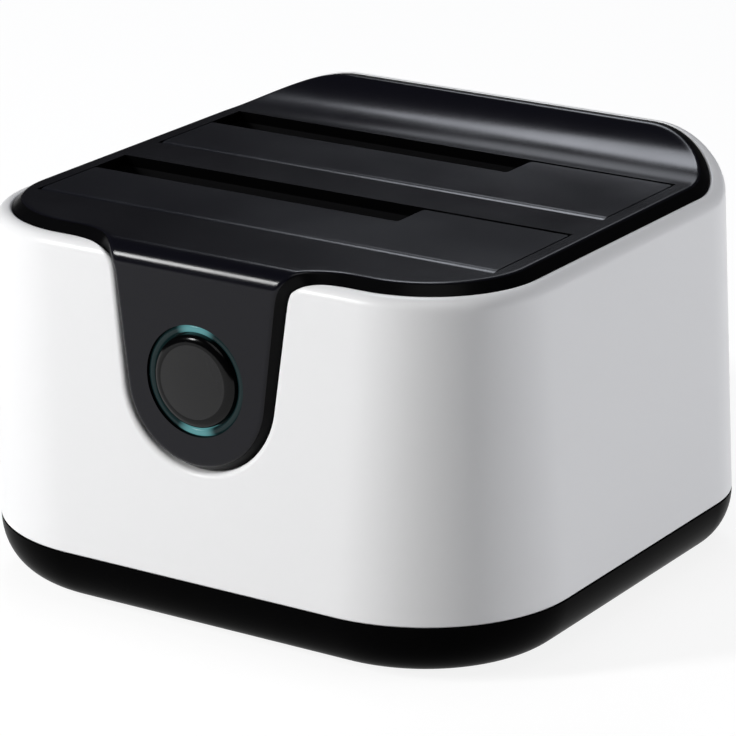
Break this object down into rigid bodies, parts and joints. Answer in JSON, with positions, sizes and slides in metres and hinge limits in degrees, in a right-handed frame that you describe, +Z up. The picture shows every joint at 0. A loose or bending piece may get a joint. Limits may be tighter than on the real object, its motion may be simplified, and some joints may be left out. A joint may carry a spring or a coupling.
{
  "type": "hard drive docking station",
  "caption": "Box-shaped dock for bare hard drives: white rounded shell, black top panel with sprung drive flaps, a raised rear lip and a front tongue that holds a lit round button.",
  "frame": {"origin": "centre of the part's box on the surface that the feet stand on", "axes": "+Z up, -Y to the front with the button, +X to the right"},
  "size_m": [0.1266, 0.1178, 0.0842],
  "materials": {
    "white_plastic": "satin gloss",
    "black_gloss": "gloss",
    "deck_black": "satin",
    "flap_black": "satin",
    "button_grey": "satin",
    "light_guide": "clear",
    "inner_plastic": "matt",
    "socket_plastic": "matt",
    "circuit_board": "satin",
    "steel": "brushed",
    "spring_steel": "drawn",
    "gold_contact": "plated",
    "can_metal": "satin",
    "foot_rubber": "matt"
  },
  "bodies": {
    "housing": {"white_shell": "white_plastic", "base_tray": "black_gloss", "top_panel": "deck_black", "front_flap_pin": "steel", "rear_flap_pin": "steel", "front_flap_spring": "spring_steel", "rear_flap_spring": "spring_steel", "front_bay": "inner_plastic", "rear_bay": "inner_plastic", "panel_screws": "steel", "base_screws": "steel", "front_left_foot": "foot_rubber", "front_right_foot": "foot_rubber", "rear_left_foot": "foot_rubber", "rear_right_foot": "foot_rubber", "main_board": "circuit_board", "board_screws": "steel", "front_drive_socket": "socket_plastic", "rear_drive_socket": "socket_plastic", "front_socket_contacts": "gold_contact", "rear_socket_contacts": "gold_contact", "controller_chip": "socket_plastic", "capacitors": "can_metal", "inductors": "inner_plastic", "dc_inlet": "socket_plastic", "dc_inlet_pin": "steel", "usb_socket": "steel", "usb_tongue": "socket_plastic", "light_ring": "light_guide", "button_board": "circuit_board", "button_board_screws": "steel", "power_switch": "socket_plastic", "status_lights": "light_guide", "button_lead": "inner_plastic"},
    "front_door": {"front_flap": "flap_black"},
    "rear_door": {"rear_flap": "flap_black"},
    "button": {"power_button": "button_grey", "switch_plunger": "inner_plastic"}
  },
  "joints": [
    {"name": "front_flap_hinge", "type": "hinge", "parent": "housing", "child": "front_door", "pos_m": [0, -0.03875, 0.0737], "axis": [-1, 0, 0], "range_deg": [0, 88], "stiffness_Nm_per_rad": 0.01, "springref_deg": -20.05, "deforming": ["front_flap_spring"]},
    {"name": "rear_flap_hinge", "type": "hinge", "parent": "housing", "child": "rear_door", "pos_m": [0, 0.00225, 0.0737], "axis": [-1, 0, 0], "range_deg": [0, 88], "stiffness_Nm_per_rad": 0.01, "springref_deg": -20.05, "deforming": ["rear_flap_spring"]},
    {"name": "power_button_push", "type": "slide", "parent": "housing", "child": "button", "axis": [0, 1, 0], "range_m": [0, 0.001], "stiffness_N_per_m": 800, "springref_m": -0.0006}
  ]
}
